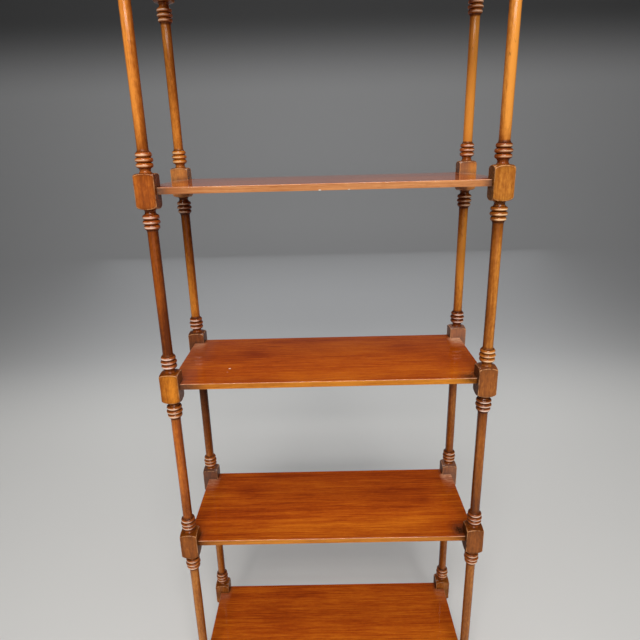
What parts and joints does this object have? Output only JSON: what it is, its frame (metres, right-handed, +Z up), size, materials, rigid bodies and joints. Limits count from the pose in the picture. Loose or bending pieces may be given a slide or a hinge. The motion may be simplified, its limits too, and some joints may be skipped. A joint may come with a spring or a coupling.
{
  "type": "etagere",
  "caption": "Tall open free-standing shelf stand: flat fixed shelves notched into square blocks on turned corner posts with ring turnings, finials and peg feet.",
  "frame": {"origin": "middle of the footprint, on the floor under the feet", "axes": "+Z up along the posts, +X along the shelves to the right as seen from the front, -Y towards the front"},
  "size_m": [0.69, 0.29, 1.8042],
  "materials": {
    "mahogany_post": "turned and squared mahogany under an aged gloss lacquer, darker in the grooves, paler on worn arrises",
    "mahogany_shelf": "flat-sawn mahogany boards, edge glued, grain along the length, aged gloss lacquer",
    "beech_dowel": "plain unfinished beech dowel"
  },
  "bodies": {
    "root": {"foot_front_left": "mahogany_post", "post_front_left_1": "mahogany_post", "post_front_left_2": "mahogany_post", "post_front_left_3": "mahogany_post", "post_front_left_4": "mahogany_post", "finial_front_left": "mahogany_post", "foot_front_right": "mahogany_post", "post_front_right_1": "mahogany_post", "post_front_right_2": "mahogany_post", "post_front_right_3": "mahogany_post", "post_front_right_4": "mahogany_post", "finial_front_right": "mahogany_post", "foot_back_left": "mahogany_post", "post_back_left_1": "mahogany_post", "post_back_left_2": "mahogany_post", "post_back_left_3": "mahogany_post", "post_back_left_4": "mahogany_post", "finial_back_left": "mahogany_post", "foot_back_right": "mahogany_post", "post_back_right_1": "mahogany_post", "post_back_right_2": "mahogany_post", "post_back_right_3": "mahogany_post", "post_back_right_4": "mahogany_post", "finial_back_right": "mahogany_post", "shelf_1": "mahogany_shelf", "dowel_1_front_left": "beech_dowel", "dowel_1_front_right": "beech_dowel", "dowel_1_back_left": "beech_dowel", "dowel_1_back_right": "beech_dowel", "shelf_2": "mahogany_shelf", "dowel_2_front_left": "beech_dowel", "dowel_2_front_right": "beech_dowel", "dowel_2_back_left": "beech_dowel", "dowel_2_back_right": "beech_dowel", "shelf_3": "mahogany_shelf", "dowel_3_front_left": "beech_dowel", "dowel_3_front_right": "beech_dowel", "dowel_3_back_left": "beech_dowel", "dowel_3_back_right": "beech_dowel", "shelf_4": "mahogany_shelf", "dowel_4_front_left": "beech_dowel", "dowel_4_front_right": "beech_dowel", "dowel_4_back_left": "beech_dowel", "dowel_4_back_right": "beech_dowel", "shelf_5": "mahogany_shelf", "dowel_5_front_left": "beech_dowel", "dowel_5_front_right": "beech_dowel", "dowel_5_back_left": "beech_dowel", "dowel_5_back_right": "beech_dowel"}
  },
  "joints": []
}
